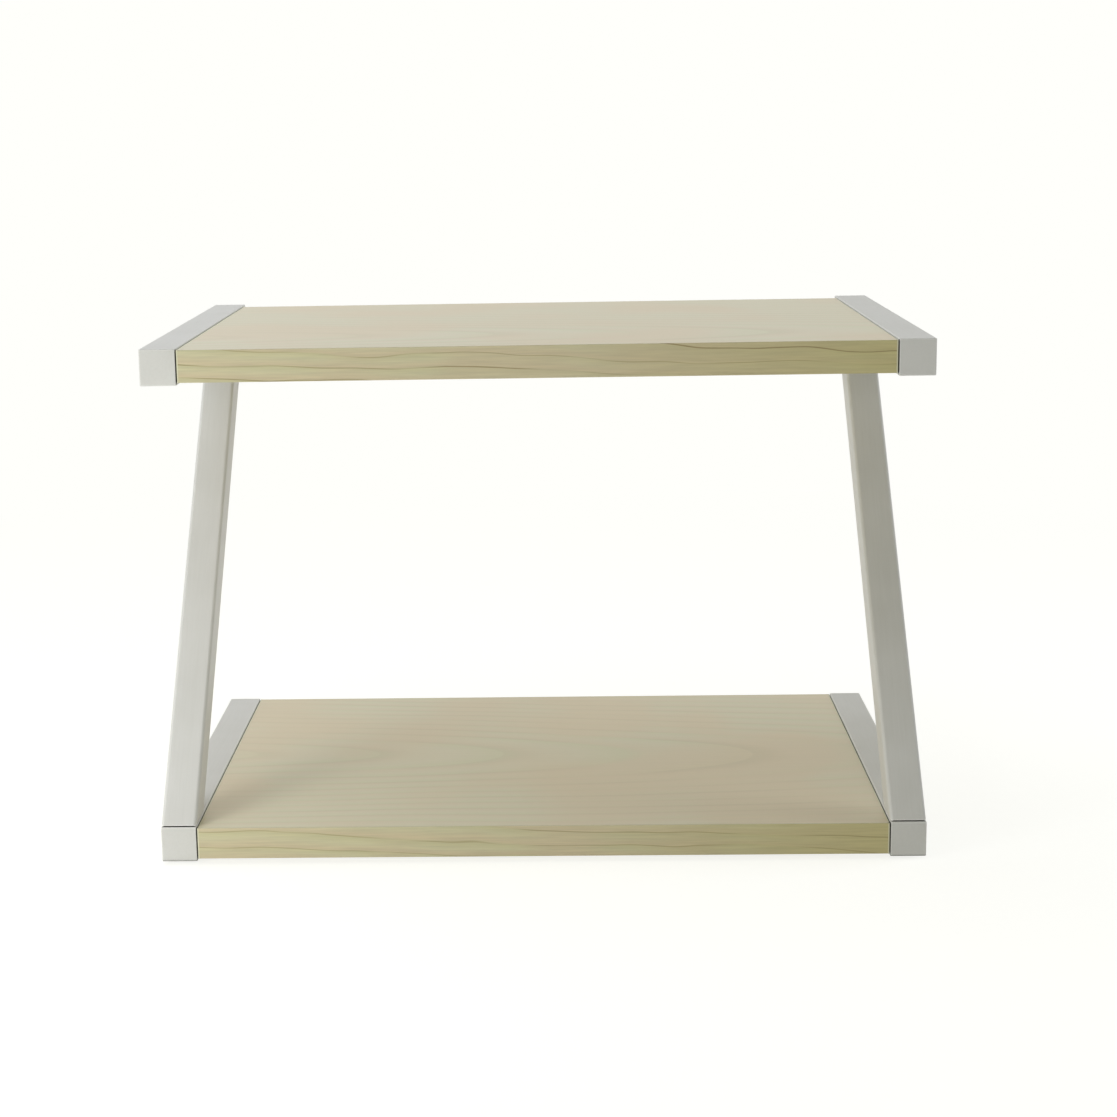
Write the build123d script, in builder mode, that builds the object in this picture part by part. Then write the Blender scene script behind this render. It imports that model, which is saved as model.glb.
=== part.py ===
from build123d import *

import math
import os

# Desktop book rack: two boards carried between two Z-shaped side frames.
# Millimetres, with X to the right, Y to the back and Z up. The origin is on the table,
# under the middle of the rack.

# Whole rack, over the outer faces of the side frames and without the pads below them
rack_width = 385.0
rack_depth = 250.0
frame_height = 260.0

# Square bars that make the side frames
bar_size = 18.0
bar_edge_radius = 0.6
leg_head_inset = 14.0  # from the back of the leg's head to the top rail's back end
leg_edge_radius = 1.8  # along its four long edges, which are sanded rounder than the rails'
leg_end_chamfer = 0.7  # round the foot and the head, which leaves a fine groove at the rail

# Boards, and the plastic bands on their four edges
board_thickness = 16.0
board_drop = 0.6  # from the top of the rail down to the top of the board
board_gap = 0.3  # between the end of the board and the rail
upper_board_setback = 10.0  # from the board's back edge to the rails' back ends
band_thickness = 0.8
band_edge_radius = 0.4

# Furniture screws through the rails into the boards, with a hexagon socket
board_screw_length = 50.0
board_screw_head_radius = 5.0
board_screw_head_rim = 0.8
board_screw_neck_radius = 3.5
board_screw_thread_radius = 3.1
board_screw_core_radius = 2.3
board_screw_thread_pitch = 3.0
board_screw_tip_length = 3.0
board_screw_socket_width = 4.0  # across the flats
board_screw_socket_depth = 2.6
board_screw_setback = 50.0  # from the rail's end to the screw

# Caps pressed over the furniture screws, flush with the rail
cap_radius = 6.0
cap_thickness = 2.0
cap_edge_chamfer = 0.3

# Fluted wooden dowels between the rails and the boards
board_dowel_radius = 3.0
board_dowel_length = 30.0
board_dowel_depth_in_rail = 11.0
board_dowel_spacing = 32.0  # from the furniture screw to the dowel beside it

# Fluted wooden dowels between the leg's head and the top rail
leg_dowel_radius = 2.5
leg_dowel_length = 24.0
leg_dowel_spacing = 8.0

# Flutes and end chamfers that all dowels share
flute_count = 12
flute_radius = 0.3
dowel_chamfer = 0.8

# Countersunk wood screw from under the bottom rail into the leg's foot
leg_screw_length = 35.0
leg_screw_head_radius = 4.0
leg_screw_head_rim = 0.4
leg_screw_shank_radius = 2.0
leg_screw_core_radius = 1.4
leg_screw_thread_pitch = 1.8
leg_screw_tip_length = 4.0
leg_screw_slot_width = 1.0
leg_screw_slot_length = 4.4
leg_screw_slot_depth = 1.6
leg_screw_recess = 0.4  # from the rail's underside up to the head

# Round pads under the bottom rails
pad_radius = 6.0
pad_thickness = 1.5
pad_edge_radius = 0.4
pad_setback = 35.0  # from the rail's end to the middle of the pad

# Clearances
bore_clearance = 0.1  # on the radius, round screws, dowels and caps
bore_end_space = 0.8  # past the ends of screws and dowels, for glue and chips
overrun = 5.0  # how far a cut runs past the face that it starts from

# Sides and levels
sides = {"left": -1, "right": 1}
rail_names = {"upper": "top", "lower": "bottom"}
rail_bases = {"upper": pad_thickness + frame_height - bar_size, "lower": pad_thickness}
board_depths = {"upper": rack_depth - upper_board_setback, "lower": rack_depth}
front_y = -rack_depth / 2
rail_mid_x = (rack_width - bar_size) / 2

# Boards: the core lies between the front and back bands, and the end bands cover all three
board_length = rack_width - 2 * (bar_size + board_gap)
core_length = board_length - 2 * band_thickness
board_bases = {
    level: base + bar_size - board_drop - board_thickness for level, base in rail_bases.items()
}

# The leg is a slanted bar with level ends: its foot starts behind the rounded front edge of
# the bottom rail and its head ends short of the top rail's back end by the inset
leg_foot_z = rail_bases["lower"] + bar_size
leg_rise = rail_bases["upper"] - leg_foot_z
leg_foot_front_y = front_y + bar_edge_radius
leg_reach = rack_depth - bar_edge_radius - leg_head_inset
leg_angle = math.asin(bar_size / math.hypot(leg_reach, leg_rise)) + math.atan2(leg_rise, leg_reach)
leg_level_depth = bar_size / math.sin(leg_angle)
leg_lean = 1 / math.tan(leg_angle)  # how far back it goes for each unit up
leg_head_back_y = leg_foot_front_y + leg_reach

# The fasteners of the leg stand upright in its slanted ends, so each is set over by half of
# what the leg leans along the length that it grips
leg_screw_grip = leg_screw_length + leg_screw_recess - bar_size
leg_screw_y = leg_foot_front_y + leg_level_depth / 2 + leg_lean * leg_screw_grip / 2
leg_dowel_y = leg_head_back_y - leg_level_depth / 2 - leg_lean * leg_dowel_length / 4

# Places along the rail of the screws and dowels that hold a board
board_screw_ys = [front_y + board_screw_setback, -front_y - board_screw_setback]
board_dowel_ys = [board_screw_ys[0] + board_dowel_spacing, board_screw_ys[1] - board_dowel_spacing]


def thread_outline(start, end, core_radius, crest_radius, pitch):
    """Half outline of a thread drawn as one ring per turn, from start down to end."""
    turns = int((start - end) / pitch)
    points = []
    for turn in range(turns):
        root = start - turn * pitch
        points.append((core_radius, root - pitch / 4))
        points.append((crest_radius, root - pitch / 2))
        points.append((core_radius, root - pitch * 3 / 4))
    return points


def board_screw_outline():
    """Half outline of the furniture screw, from the middle of its head's top to its tip."""
    cone_end = -board_screw_head_rim - (board_screw_head_radius - board_screw_neck_radius)
    neck_end = cap_thickness - bar_size
    thread_end = -board_screw_length + board_screw_tip_length
    return [
        (0, 0),
        (board_screw_head_radius, 0),
        (board_screw_head_radius, -board_screw_head_rim),
        (board_screw_neck_radius, cone_end),
        (board_screw_neck_radius, neck_end),
        (board_screw_core_radius, neck_end),
        *thread_outline(
            neck_end,
            thread_end,
            board_screw_core_radius,
            board_screw_thread_radius,
            board_screw_thread_pitch,
        ),
        (board_screw_core_radius, thread_end),
        (0, -board_screw_length),
    ]


def leg_screw_outline():
    """Half outline of the wood screw, from the middle of its head's top to its tip."""
    cone_end = -leg_screw_head_rim - (leg_screw_head_radius - leg_screw_shank_radius)
    shank_end = leg_screw_recess - bar_size
    thread_end = -leg_screw_length + leg_screw_tip_length
    return [
        (0, 0),
        (leg_screw_head_radius, 0),
        (leg_screw_head_radius, -leg_screw_head_rim),
        (leg_screw_shank_radius, cone_end),
        (leg_screw_shank_radius, shank_end),
        (leg_screw_core_radius, shank_end),
        *thread_outline(
            shank_end,
            thread_end,
            leg_screw_core_radius,
            leg_screw_shank_radius,
            leg_screw_thread_pitch,
        ),
        (leg_screw_core_radius, thread_end),
        (0, -leg_screw_length),
    ]


def board_screw():
    """Furniture screw on the Z axis, its head's top at zero and its tip below."""
    with BuildPart() as screw:
        with BuildSketch(Plane.XZ):
            with BuildLine():
                Polyline(*board_screw_outline(), close=True)
            make_face()
        revolve(axis=Axis.Z)
        with BuildSketch(Plane.XY):
            RegularPolygon(board_screw_socket_width / 2, 6, major_radius=False)
        extrude(amount=-board_screw_socket_depth, mode=Mode.SUBTRACT)
    return screw.part


def board_screw_bore():
    """What the furniture screw and its cap take out of the rail, the end band and the core."""
    head_radius = board_screw_head_radius + bore_clearance
    neck_radius = board_screw_neck_radius + bore_clearance
    neck_end = cap_thickness - bar_size
    with BuildPart() as bore:
        with BuildSketch(Plane.XY):
            Circle(cap_radius + bore_clearance)
        extrude(amount=cap_thickness + overrun)
        with BuildSketch(Plane.XZ):
            with BuildLine():
                Polyline(
                    (0, 0),
                    (head_radius, 0),
                    (head_radius, -board_screw_head_rim),
                    (neck_radius, -board_screw_head_rim - head_radius + neck_radius),
                    (neck_radius, neck_end),
                    (0, neck_end),
                    close=True,
                )
            make_face()
        revolve(axis=Axis.Z)
        with BuildSketch(Plane.XY):
            Circle(board_screw_thread_radius + bore_clearance)
        extrude(amount=-board_screw_length - bore_end_space)
    return bore.part


def screw_cap():
    """Cap whose disc rests on the screw's head and whose plug goes into the socket."""
    with BuildPart() as cap:
        with BuildSketch(Plane.XY):
            Circle(cap_radius)
        extrude(amount=cap_thickness)
        chamfer(cap.edges().sort_by(Axis.Z)[-1], cap_edge_chamfer)
        with BuildSketch(Plane.XY):
            RegularPolygon(board_screw_socket_width / 2 - bore_clearance, 6, major_radius=False)
        extrude(amount=bore_clearance - board_screw_socket_depth)
    return cap.part


def dowel(radius, length):
    """Fluted dowel on the Z axis, its middle at zero."""
    with BuildPart() as pin:
        with BuildSketch(Plane.XY.offset(-length / 2)):
            Circle(radius)
            with PolarLocations(radius, flute_count):
                Circle(flute_radius, mode=Mode.SUBTRACT)
        extrude(amount=length)
        with BuildSketch(Plane.XZ):
            for end in (-1, 1):
                with BuildLine():
                    Polyline(
                        (radius - dowel_chamfer, end * length / 2),
                        (radius, end * (length / 2 - dowel_chamfer)),
                        (radius + overrun, end * (length / 2 - dowel_chamfer)),
                        (radius + overrun, end * (length / 2 + overrun)),
                        (radius - dowel_chamfer, end * (length / 2 + overrun)),
                        close=True,
                    )
                make_face()
        revolve(axis=Axis.Z, mode=Mode.SUBTRACT)
    return pin.part


def dowel_bore(radius, length):
    """Bore round a dowel on the Z axis, with room for glue past both ends."""
    with BuildPart() as bore:
        Cylinder(radius + bore_clearance, length + 2 * bore_end_space)
    return bore.part


def leg_screw():
    """Wood screw on the Z axis, its head's top at zero and its tip below."""
    with BuildPart() as screw:
        with BuildSketch(Plane.XZ):
            with BuildLine():
                Polyline(*leg_screw_outline(), close=True)
            make_face()
        revolve(axis=Axis.Z)
        with BuildSketch(Plane.XY):
            Rectangle(leg_screw_slot_length, leg_screw_slot_width)
            Rectangle(leg_screw_slot_width, leg_screw_slot_length)
        extrude(amount=-leg_screw_slot_depth, mode=Mode.SUBTRACT)
    return screw.part


def leg_screw_bore():
    """What the wood screw takes out of the bottom rail and the leg."""
    head_radius = leg_screw_head_radius + bore_clearance
    shank_radius = leg_screw_shank_radius + bore_clearance
    with BuildPart() as bore:
        with BuildSketch(Plane.XZ):
            with BuildLine():
                Polyline(
                    (0, overrun),
                    (head_radius, overrun),
                    (head_radius, -leg_screw_head_rim),
                    (shank_radius, -leg_screw_head_rim - head_radius + shank_radius),
                    (shank_radius, -leg_screw_length - bore_end_space),
                    (0, -leg_screw_length - bore_end_space),
                    close=True,
                )
            make_face()
        revolve(axis=Axis.Z)
    return bore.part


def board_joint_plane(side, level, inward):
    """Plane that faces out of the rack at a board's middle height, that far in from the rail's
    outer face."""
    middle = board_bases[level] + board_thickness / 2
    return Plane(
        origin=(sides[side] * (rack_width / 2 - inward), 0, middle),
        x_dir=(0, 1, 0),
        z_dir=(sides[side], 0, 0),
    )


def board_screw_spots(side, level):
    plane = board_joint_plane(side, level, cap_thickness)
    return [plane.location * Location((y, 0, 0)) for y in board_screw_ys]


def board_dowel_spots(side, level):
    inward = bar_size - board_dowel_depth_in_rail + board_dowel_length / 2
    plane = board_joint_plane(side, level, inward)
    return [plane.location * Location((y, 0, 0)) for y in board_dowel_ys]


def leg_screw_spot(side):
    head_z = rail_bases["lower"] + leg_screw_recess
    plane = Plane(origin=(sides[side] * rail_mid_x, leg_screw_y, head_z), z_dir=(0, 0, -1))
    return plane.location


def leg_dowel_spots(side):
    offsets = (-leg_dowel_spacing / 2, leg_dowel_spacing / 2)
    return [
        Location((sides[side] * rail_mid_x + offset, leg_dowel_y, rail_bases["upper"]))
        for offset in offsets
    ]


def keep(piece, name):
    """Label a finished piece and write it."""
    piece.part.label = name
    export_step(piece.part, f"parts/{name}.step")


def build_rail(side, level, bores):
    """Rail along the rack's depth, bored for the board and for the leg."""
    with BuildPart() as rail:
        with BuildSketch(Plane.XY.offset(rail_bases[level])):
            with Locations((sides[side] * rail_mid_x, 0)):
                Rectangle(bar_size, rack_depth)
        extrude(amount=bar_size)
        fillet(rail.edges(), bar_edge_radius)
        with Locations(*board_screw_spots(side, level)):
            add(bores["board_screw"], mode=Mode.SUBTRACT)
        with Locations(*board_dowel_spots(side, level)):
            add(bores["board_dowel"], mode=Mode.SUBTRACT)
        if level == "upper":
            with Locations(*leg_dowel_spots(side)):
                add(bores["leg_dowel"], mode=Mode.SUBTRACT)
        else:
            with Locations(leg_screw_spot(side)):
                add(bores["leg_screw"], mode=Mode.SUBTRACT)
    keep(rail, f"{side}_{rail_names[level]}_rail")


def build_leg(side, bores):
    """Slanted bar from the front of the bottom rail up to the underside of the top rail."""
    with BuildPart() as leg:
        with BuildSketch(Plane.YZ.offset(sides[side] * rail_mid_x - bar_size / 2)):
            with BuildLine():
                Polyline(
                    (leg_foot_front_y, leg_foot_z),
                    (leg_foot_front_y + leg_level_depth, leg_foot_z),
                    (leg_head_back_y, rail_bases["upper"]),
                    (leg_head_back_y - leg_level_depth, rail_bases["upper"]),
                    close=True,
                )
            make_face()
        extrude(amount=bar_size)
        for end_faces in (leg.faces().group_by(Axis.Z)[0], leg.faces().group_by(Axis.Z)[-1]):
            chamfer(end_faces.edges(), leg_end_chamfer)
        fillet(leg.edges().group_by(SortBy.LENGTH)[-1], leg_edge_radius)
        with Locations(leg_screw_spot(side)):
            add(bores["leg_screw"], mode=Mode.SUBTRACT)
        with Locations(*leg_dowel_spots(side)):
            add(bores["leg_dowel"], mode=Mode.SUBTRACT)
    keep(leg, f"{side}_leg")


def build_board_core(level, bores):
    """Chipboard core between the front and back bands, bored from both ends."""
    core_depth = board_depths[level] - 2 * band_thickness
    with BuildPart() as core:
        with BuildSketch(Plane.XY.offset(board_bases[level])):
            with Locations((0, front_y + board_depths[level] / 2)):
                Rectangle(core_length, core_depth)
        extrude(amount=board_thickness)
        for side in sides:
            with Locations(*board_screw_spots(side, level)):
                add(bores["board_screw"], mode=Mode.SUBTRACT)
            with Locations(*board_dowel_spots(side, level)):
                add(bores["board_dowel"], mode=Mode.SUBTRACT)
    keep(core, f"{level}_board_core")


def build_long_band(level, end):
    """Edge band along the front or the back of a board, its outer edges eased."""
    at_front = end == "front"
    middle = band_thickness / 2 if at_front else board_depths[level] - band_thickness / 2
    with BuildPart() as band:
        with BuildSketch(Plane.XY.offset(board_bases[level])):
            with Locations((0, front_y + middle)):
                Rectangle(core_length, band_thickness)
        extrude(amount=board_thickness)
        outer_edges = band.edges().filter_by(Axis.X).group_by(Axis.Y)[0 if at_front else -1]
        fillet(outer_edges, band_edge_radius)
    keep(band, f"{level}_board_{end}_band")


def build_end_band(side, level, bores):
    """Edge band over a board's end, bored with the board, its outer edges eased."""
    band_x = sides[side] * (board_length - band_thickness) / 2
    with BuildPart() as band:
        with BuildSketch(Plane.XY.offset(board_bases[level])):
            with Locations((band_x, front_y + board_depths[level] / 2)):
                Rectangle(band_thickness, board_depths[level])
        extrude(amount=board_thickness)
        outer_face = band.faces().sort_by(Axis.X)[0 if side == "left" else -1]
        fillet(outer_face.edges(), band_edge_radius)
        with Locations(*board_screw_spots(side, level)):
            add(bores["board_screw"], mode=Mode.SUBTRACT)
        with Locations(*board_dowel_spots(side, level)):
            add(bores["board_dowel"], mode=Mode.SUBTRACT)
    keep(band, f"{level}_board_{side}_band")


def build_group(name, shape, spots):
    """Several alike fasteners in one node, each a solid of its own."""
    with BuildPart() as group:
        with Locations(*spots):
            add(shape)
    keep(group, name)


def build_pad(side, end):
    """Round pad under a bottom rail, eased where it meets the table."""
    place_y = -front_y - pad_setback
    with BuildPart() as pad:
        with BuildSketch(Plane.XY):
            with Locations((sides[side] * rail_mid_x, -place_y if end == "front" else place_y)):
                Circle(pad_radius)
        extrude(amount=pad_thickness)
        fillet(pad.edges().group_by(Axis.Z)[0], pad_edge_radius)
    keep(pad, f"{end}_{side}_pad")


os.makedirs("parts", exist_ok=True)

bores = {
    "board_screw": board_screw_bore(),
    "board_dowel": dowel_bore(board_dowel_radius, board_dowel_length),
    "leg_screw": leg_screw_bore(),
    "leg_dowel": dowel_bore(leg_dowel_radius, leg_dowel_length),
}
fasteners = {
    "board_screws": board_screw(),
    "screw_caps": screw_cap(),
    "board_dowels": dowel(board_dowel_radius, board_dowel_length),
    "leg_screw": leg_screw(),
    "leg_dowels": dowel(leg_dowel_radius, leg_dowel_length),
}

for side in sides:
    build_leg(side, bores)
    build_group(f"{side}_leg_screw", fasteners["leg_screw"], [leg_screw_spot(side)])
    build_group(f"{side}_leg_dowels", fasteners["leg_dowels"], leg_dowel_spots(side))
    for end in ("front", "back"):
        build_pad(side, end)

for level in rail_bases:
    build_board_core(level, bores)
    for end in ("front", "back"):
        build_long_band(level, end)
    for side in sides:
        screw_spots = board_screw_spots(side, level)
        build_rail(side, level, bores)
        build_end_band(side, level, bores)
        build_group(f"{level}_{side}_board_screws", fasteners["board_screws"], screw_spots)
        build_group(f"{level}_{side}_screw_caps", fasteners["screw_caps"], screw_spots)
        build_group(
            f"{level}_{side}_board_dowels",
            fasteners["board_dowels"],
            board_dowel_spots(side, level),
        )
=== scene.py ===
import bpy
import math
from mathutils import Matrix, Vector


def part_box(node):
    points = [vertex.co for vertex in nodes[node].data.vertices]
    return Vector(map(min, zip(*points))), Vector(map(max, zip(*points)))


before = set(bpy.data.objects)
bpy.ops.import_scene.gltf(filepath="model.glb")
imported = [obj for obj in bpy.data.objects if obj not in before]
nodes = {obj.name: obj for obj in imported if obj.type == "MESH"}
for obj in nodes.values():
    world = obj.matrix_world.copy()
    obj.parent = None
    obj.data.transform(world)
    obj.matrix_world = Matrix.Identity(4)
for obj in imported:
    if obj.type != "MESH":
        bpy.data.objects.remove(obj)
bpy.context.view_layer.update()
mm = 0.001  # one millimetre in metres
mixA, mixB, mixColour = 6, 7, 2  # a Mix node's sockets when it mixes colours
print("frame loaded:", len(nodes), "pieces of the rack")


def hexToLinear(hexColour):
    # an sRGB hex colour as the linear one that shaders take
    linear = []
    for start in (1, 3, 5):
        value = int(hexColour[start:start + 2], 16) / 255
        linear.append(value / 12.92 if value <= 0.04045 else ((value + 0.055) / 1.055) ** 2.4)
    return (*linear, 1.0)


def addNode(tree, kind, settings=None, links=None):
    # settings go to the node's property of that name, or to its input by name or number;
    # "ramp" holds a colour ramp's stops; links say which output each input reads
    node = tree.nodes.new(kind)
    for key, value in (settings or {}).items():
        if key == "ramp":
            stops = node.color_ramp.elements
            while len(stops) < len(value):
                stops.new(0.5)
            for stop, (place, colour) in zip(stops, value):
                stop.position = place
                stop.color = hexToLinear(colour)
        elif key in node.bl_rna.properties.keys():
            setattr(node, key, value)
        else:
            node.inputs[key].default_value = value
    for key, source in (links or {}).items():
        tree.links.new(source, node.inputs[key])
    return node


def newMaterial(name):
    # an empty node tree with its shader, and the place on the object in metres
    material = bpy.data.materials.new(name)
    material.use_nodes = True
    tree = material.node_tree
    tree.nodes.clear()
    shader = addNode(tree, "ShaderNodeBsdfPrincipled")
    addNode(tree, "ShaderNodeOutputMaterial", links={"Surface": shader.outputs["BSDF"]})
    place = addNode(tree, "ShaderNodeTexCoord")
    return material, tree, shader, place


def finishShader(tree, shader, colour, gloss, normal):
    # joins a finish's colour, roughness and normal to its shader
    tree.links.new(colour, shader.inputs["Base Color"])
    tree.links.new(gloss, shader.inputs["Roughness"])
    tree.links.new(normal, shader.inputs["Normal"])


def give(material, *names):
    # puts one material on all the slots of these pieces
    for name in names:
        for materialSlot in nodes[name].material_slots:
            materialSlot.material = material


# Seams: painted shade darkens the narrow gaps where two pieces meet, so that they read as fine dark lines
seams = {
    # colour of the painted shade in the seams
    "shadeColour": "#1C1910",
    "reach": 3 * mm,  # a wall this near counts as the other side of a seam
    # share of its surroundings that a surface sees where the painted shade starts: along the lower board,
    # along the upper one, where it is kept faint, and at the front and back ends of the rails
    "shadeFrom": {"lower": 0.34, "upper": 0.05, "ends": 0.94},
    # the groove round a leg's end is shallow, and the painted shade fills all of it
    "shadeFromAtLegs": {"lower": 0.84, "upper": 0.84, "ends": 0.84},
    "shadeRamp": 0.22,  # how much less it sees where the painted shade is full
    "endReach": 3 * mm,  # how far in from their ends the rails take the ends' stronger painted shade
    # upward part of a face's normal over which the painted shade starts to show on it
    "shadeFacing": {"from": -0.9, "to": -0.5},
    "samples": 8,
}


def withPaintedSeamShade(tree, place, colour, shadeFrom):
    # the colour with painted shade over it where the surface sees little of its surroundings
    sky = addNode(
        tree,
        "ShaderNodeAmbientOcclusion",
        {"samples": seams["samples"], "Distance": seams["reach"]},
    )
    split = addNode(tree, "ShaderNodeSeparateXYZ", links={"Vector": place.outputs["Object"]})
    along = addNode(tree, "ShaderNodeMath", {"operation": "ABSOLUTE"}, {0: split.outputs["Y"]})
    railLow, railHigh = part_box("left_top_rail")
    level = addNode(
        tree,
        "ShaderNodeMapRange",
        {
            "From Min": railLow.z - seams["reach"],
            "From Max": railLow.z,
            "To Min": shadeFrom["lower"],
            "To Max": shadeFrom["upper"],
        },
        {"Value": split.outputs["Z"]},
    )
    start = addNode(
        tree,
        "ShaderNodeMapRange",
        {
            "From Min": railHigh.y - seams["endReach"],
            "From Max": railHigh.y - seams["endReach"] / 2,
            "To Max": shadeFrom["ends"],
        },
        {"Value": along.outputs["Value"], "To Min": level.outputs["Result"]},
    )
    hidden = addNode(
        tree,
        "ShaderNodeMath",
        {"operation": "SUBTRACT"},
        {0: start.outputs["Result"], 1: sky.outputs["AO"]},
    )
    depth = addNode(
        tree,
        "ShaderNodeMath",
        {"operation": "MULTIPLY", "use_clamp": True, 1: 1 / seams["shadeRamp"]},
        {0: hidden.outputs["Value"]},
    )
    # the painted shade is kept off faces that look down
    facing = addNode(tree, "ShaderNodeSeparateXYZ", links={"Vector": place.outputs["Normal"]})
    notFacingDown = addNode(
        tree,
        "ShaderNodeMapRange",
        {"From Min": seams["shadeFacing"]["from"], "From Max": seams["shadeFacing"]["to"]},
        {"Value": facing.outputs["Z"]},
    )
    kept = addNode(
        tree,
        "ShaderNodeMath",
        {"operation": "MULTIPLY"},
        {0: depth.outputs["Value"], 1: notFacingDown.outputs["Result"]},
    )
    # painted shade: the colour mixed towards near black where the surface sees little of its surroundings
    seamShaded = addNode(
        tree,
        "ShaderNodeMix",
        {"data_type": "RGBA", mixB: hexToLinear(seams["shadeColour"])},
        {"Factor": kept.outputs["Value"], mixA: colour},
    )
    return seamShaded.outputs[mixColour]


# Sides, levels and ends, as the pieces are named
sides = ("left", "right")
levels = ("upper", "lower")
ends = ("front", "back")

# Bars of the side frames: solid poplar, sanded round at the edges and sprayed with white lacquer.
# The eye gets a soft satin white with faint orange peel, a trace of the grain below it, and
# edges that are a little glossier, with a painted highlight along them.
lacquer = {
    "white": "#DADAD6",
    "shade": "#D3D3CE",  # where the coat lies thin over the grain
    # colour of the painted highlight along the edges
    "paintedEdgeHighlight": "#F4F4F0",
    "ior": 1.49,
    "roughness": 0.42,
    "edgeRoughness": 0.32,
    "peelSize": 1.6 * mm,  # from one dimple of the orange peel to the next
    "peelDepth": 0.012 * mm,
    "grainWidth": 1.2 * mm,  # real pores are 0.1 mm wide, drawn coarser so that they show
    "grainLength": 28 * mm,
    "grainDepth": 0.02 * mm,
    "grainShare": 0.5,  # the grain's weight in the tone, against 1 for the clouds
    "cloudSize": 45 * mm,  # slow change of tone along a bar
    "cloudGloss": 0.08,  # how much rougher the clouds make the coat
    "toneRange": {"from": 0.55, "to": 0.95},  # from the thin coat's tone to the full one's
    "edgeRadius": 1.2 * mm,  # how far from an edge the painted highlight and the extra gloss reach
    # cosine between a face's normal and the rounded one, where the painted highlight starts and is full
    "edgeTurn": {"start": 0.995, "full": 0.90},
    "edgeSamples": 6,
}


def lacquerMaterial(name, angle, shadeFrom):
    # angle is the bar's slope above level, so that the grain runs along the bar
    look = lacquer
    material, tree, shader, place = newMaterial(name)
    along = addNode(
        tree,
        "ShaderNodeMapping",
        {"vector_type": "TEXTURE", "Rotation": (angle, 0, 0)},
        {"Vector": place.outputs["Object"]},
    )
    stretched = addNode(
        tree,
        "ShaderNodeMapping",
        {"Scale": (1 / look["grainWidth"], 1 / look["grainLength"], 1 / look["grainWidth"])},
        {"Vector": along.outputs["Vector"]},
    )
    grain = addNode(
        tree,
        "ShaderNodeTexNoise",
        {"Scale": 1.0, "Detail": 3.0, "Roughness": 0.6, "Distortion": 0.3},
        {"Vector": stretched.outputs["Vector"]},
    )
    peel = addNode(
        tree,
        "ShaderNodeTexNoise",
        {"Scale": 1 / look["peelSize"], "Detail": 1.0, "Roughness": 0.4},
        {"Vector": place.outputs["Object"]},
    )
    cloud = addNode(
        tree,
        "ShaderNodeTexNoise",
        {"Scale": 1 / look["cloudSize"], "Detail": 2.0, "Roughness": 0.5},
        {"Vector": place.outputs["Object"]},
    )
    # edge: 0 on the flat, 1 on an edge, from how far a rounded normal turns away
    rounded = addNode(
        tree,
        "ShaderNodeBevel",
        {"samples": look["edgeSamples"], "Radius": look["edgeRadius"]},
    )
    facing = addNode(tree, "ShaderNodeNewGeometry")
    turned = addNode(
        tree,
        "ShaderNodeVectorMath",
        {"operation": "DOT_PRODUCT"},
        {0: rounded.outputs["Normal"], 1: facing.outputs["Normal"]},
    )
    edge = addNode(
        tree,
        "ShaderNodeMapRange",
        {"From Min": look["edgeTurn"]["start"], "From Max": look["edgeTurn"]["full"]},
        {"Value": turned.outputs["Value"]},
    )
    tone = addNode(
        tree,
        "ShaderNodeMath",
        {"operation": "MULTIPLY_ADD", 1: look["grainShare"]},
        {0: grain.outputs["Fac"], 2: cloud.outputs["Fac"]},
    )
    spread = addNode(
        tree,
        "ShaderNodeMapRange",
        {"From Min": look["toneRange"]["from"], "From Max": look["toneRange"]["to"]},
        {"Value": tone.outputs["Value"]},
    )
    coat = addNode(
        tree,
        "ShaderNodeMix",
        {
            "data_type": "RGBA",
            mixA: hexToLinear(look["shade"]),
            mixB: hexToLinear(look["white"]),
        },
        {"Factor": spread.outputs["Result"]},
    )
    # painted highlight: the coat mixed towards a paler white along the edges
    highlightedCoat = addNode(
        tree,
        "ShaderNodeMix",
        {"data_type": "RGBA", mixB: hexToLinear(look["paintedEdgeHighlight"])},
        {"Factor": edge.outputs["Result"], mixA: coat.outputs[mixColour]},
    )
    gloss = addNode(
        tree,
        "ShaderNodeMapRange",
        {"To Min": look["roughness"], "To Max": look["edgeRoughness"]},
        {"Value": edge.outputs["Result"]},
    )
    glossClouds = addNode(
        tree,
        "ShaderNodeMath",
        {"operation": "MULTIPLY_ADD", 1: look["cloudGloss"]},
        {0: cloud.outputs["Fac"], 2: gloss.outputs["Result"]},
    )
    dimples = addNode(
        tree,
        "ShaderNodeBump",
        {"Strength": 1.0, "Distance": look["peelDepth"]},
        {"Height": peel.outputs["Fac"]},
    )
    pores = addNode(
        tree,
        "ShaderNodeBump",
        {"Strength": 1.0, "Distance": look["grainDepth"]},
        {"Height": grain.outputs["Fac"], "Normal": dimples.outputs["Normal"]},
    )
    shader.inputs["IOR"].default_value = look["ior"]
    # painted shade in the seams, over the coat's colour
    seamShaded = withPaintedSeamShade(tree, place, highlightedCoat.outputs[mixColour], shadeFrom)
    finishShader(tree, shader, seamShaded, glossClouds.outputs["Value"], pores.outputs["Normal"])
    return material


def finishFrame():
    low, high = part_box("left_leg")
    rise, reach, bar = high.z - low.z, high.y - low.y, high.x - low.x
    legAngle = math.asin(bar / math.hypot(rise, reach)) + math.atan2(rise, reach)
    onRails = lacquerMaterial("satinLacquerOnPoplarRail", 0.0, seams["shadeFrom"])
    onLegs = lacquerMaterial("satinLacquerOnPoplarLeg", legAngle, seams["shadeFromAtLegs"])
    for side in sides:
        give(onRails, f"{side}_top_rail", f"{side}_bottom_rail")
        give(onLegs, f"{side}_leg")


finishFrame()
print("side frames: satin lacquer on the rails and legs")

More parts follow.
